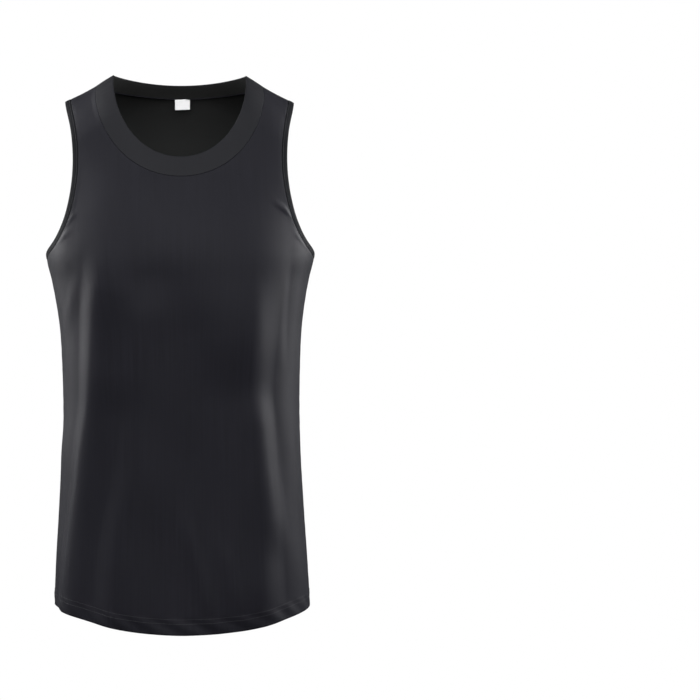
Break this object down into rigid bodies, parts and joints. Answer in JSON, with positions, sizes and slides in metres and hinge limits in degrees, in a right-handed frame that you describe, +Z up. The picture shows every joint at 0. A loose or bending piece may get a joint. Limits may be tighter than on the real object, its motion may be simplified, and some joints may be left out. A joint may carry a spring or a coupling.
{
  "type": "basketball jersey",
  "caption": "Sleeveless knit sports vest with a scoop neckband, bound armholes and a stitched hem, filled out and hollow as when it is worn.",
  "frame": {"origin": "midway between the two high shoulder points, where the neckline meets the shoulder seams; the wearer's shoulders hold the vest up there", "axes": "+Z up, from the hem to the shoulders; the front faces -Y; the wearer's left is +X"},
  "size_m": [0.3344, 0.2353, 0.6751],
  "materials": {
    "body_knit": "fine smooth polyester knit, charcoal black, with a soft satin sheen towards the sides",
    "band_knit": "the same knit, double, with its wales running across the band",
    "binding_knit": "the same knit, folded over the armhole edge and stitched down",
    "label_cloth": "white woven tape, bare on both faces"
  },
  "bodies": {
    "root": {"front_panel": "body_knit", "back_panel": "body_knit", "neckband": "band_knit", "armhole_binding_left": "binding_knit", "armhole_binding_right": "binding_knit", "neck_label": "label_cloth"}
  },
  "joints": []
}
